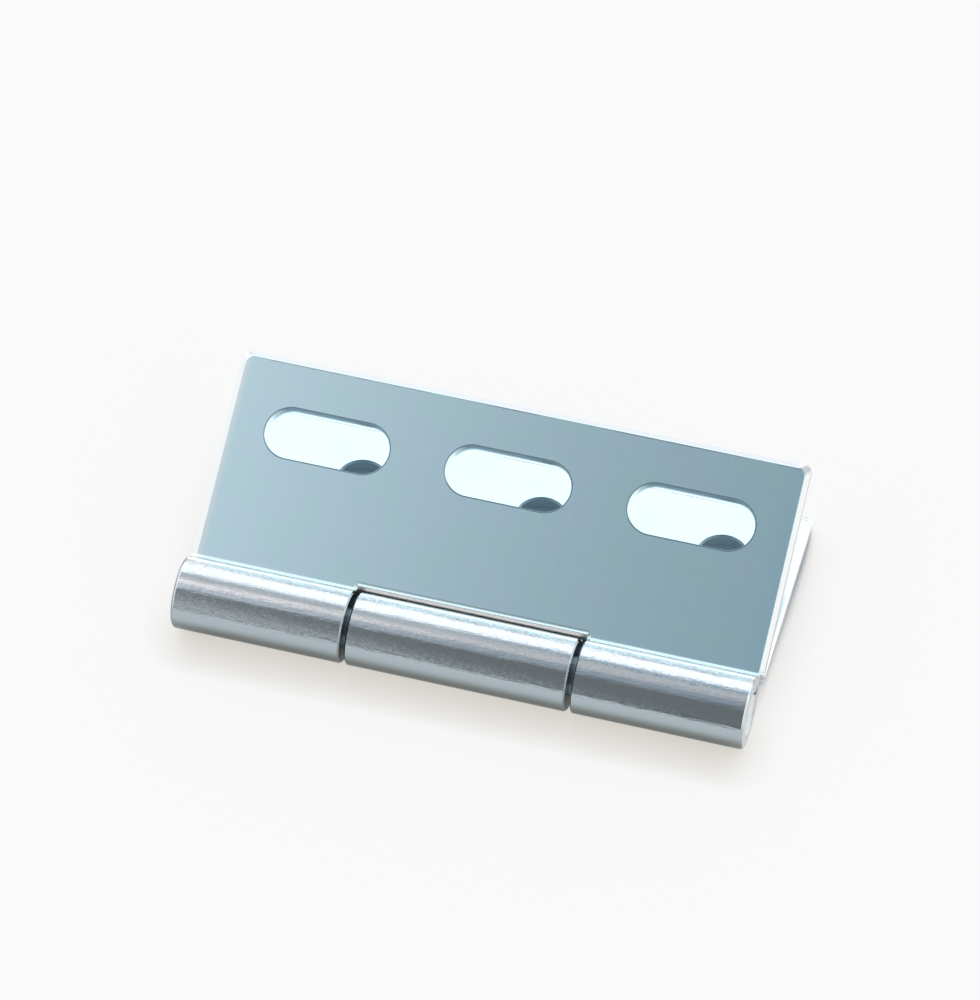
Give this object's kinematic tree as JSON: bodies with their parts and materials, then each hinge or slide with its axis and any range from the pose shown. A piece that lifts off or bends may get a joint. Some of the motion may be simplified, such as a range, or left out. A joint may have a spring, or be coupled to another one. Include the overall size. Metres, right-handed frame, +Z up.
{
  "type": "cabinet hinge",
  "caption": "Butt hinge of bright zinc-plated sheet steel with rolled knuckles on a steel pin, slots in one leaf and round holes in the other, folded almost shut.",
  "frame": {"origin": "centre of the footprint, at the level of the surface the folded hinge lies on", "axes": "+X along the pin, +Y from the barrel towards the leaves' free edges, +Z up out of the surface"},
  "size_m": [0.0754, 0.0372, 0.0168],
  "materials": {
    "upper_leaf": "bright blue-white zinc plate, faintly specked",
    "lower_leaf": "bright blue-white zinc plate, faintly specked",
    "pin": "drawn steel rod, zinc plated"
  },
  "bodies": {
    "holed_leaf": {"lower_leaf": "lower_leaf"},
    "slotted_leaf": {"upper_leaf": "upper_leaf", "pin": "pin"}
  },
  "joints": [
    {"name": "leaf_swing", "type": "hinge", "parent": "holed_leaf", "child": "slotted_leaf", "pos_m": [-0.00028, -0.01389, 0.0047], "axis": [1, 0, 0], "range_deg": [0, 318]}
  ]
}
